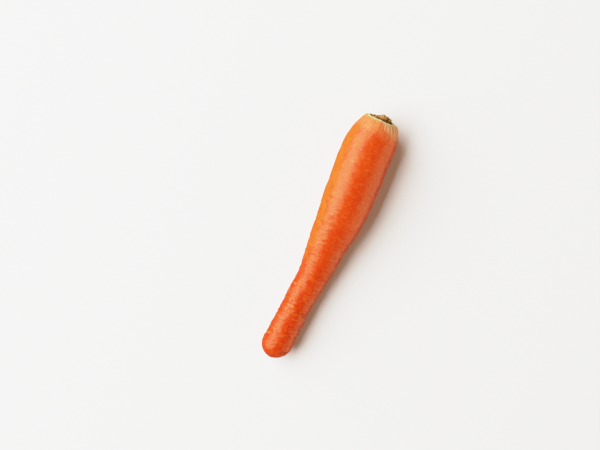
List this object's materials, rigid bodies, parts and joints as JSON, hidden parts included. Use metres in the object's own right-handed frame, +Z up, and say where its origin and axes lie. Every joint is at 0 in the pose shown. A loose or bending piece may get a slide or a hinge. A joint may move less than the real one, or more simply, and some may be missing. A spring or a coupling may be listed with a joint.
{
  "type": "carrot",
  "caption": "Whole raw carrot lying on its side: a blunt, slightly bent taproot with the cut stubs of its leaf stalks in the crown.",
  "frame": {"origin": "on the surface that the carrot lies on, under the middle of its box", "axes": "+X along the root from the tail to the crown, +Z up, -Y the side towards which the root bends"},
  "size_m": [0.193, 0.038, 0.0356],
  "materials": {
    "root_skin": "thin moist orange skin with a soft waxy sheen, paler and greener towards the rim of the crown",
    "dry_leaf_stalk": "dull, fibrous and dry: ochre cut tops and dark brown sides"
  },
  "bodies": {
    "root": {"root": "root_skin", "leaf_stalk_stubs": "dry_leaf_stalk"}
  },
  "joints": []
}
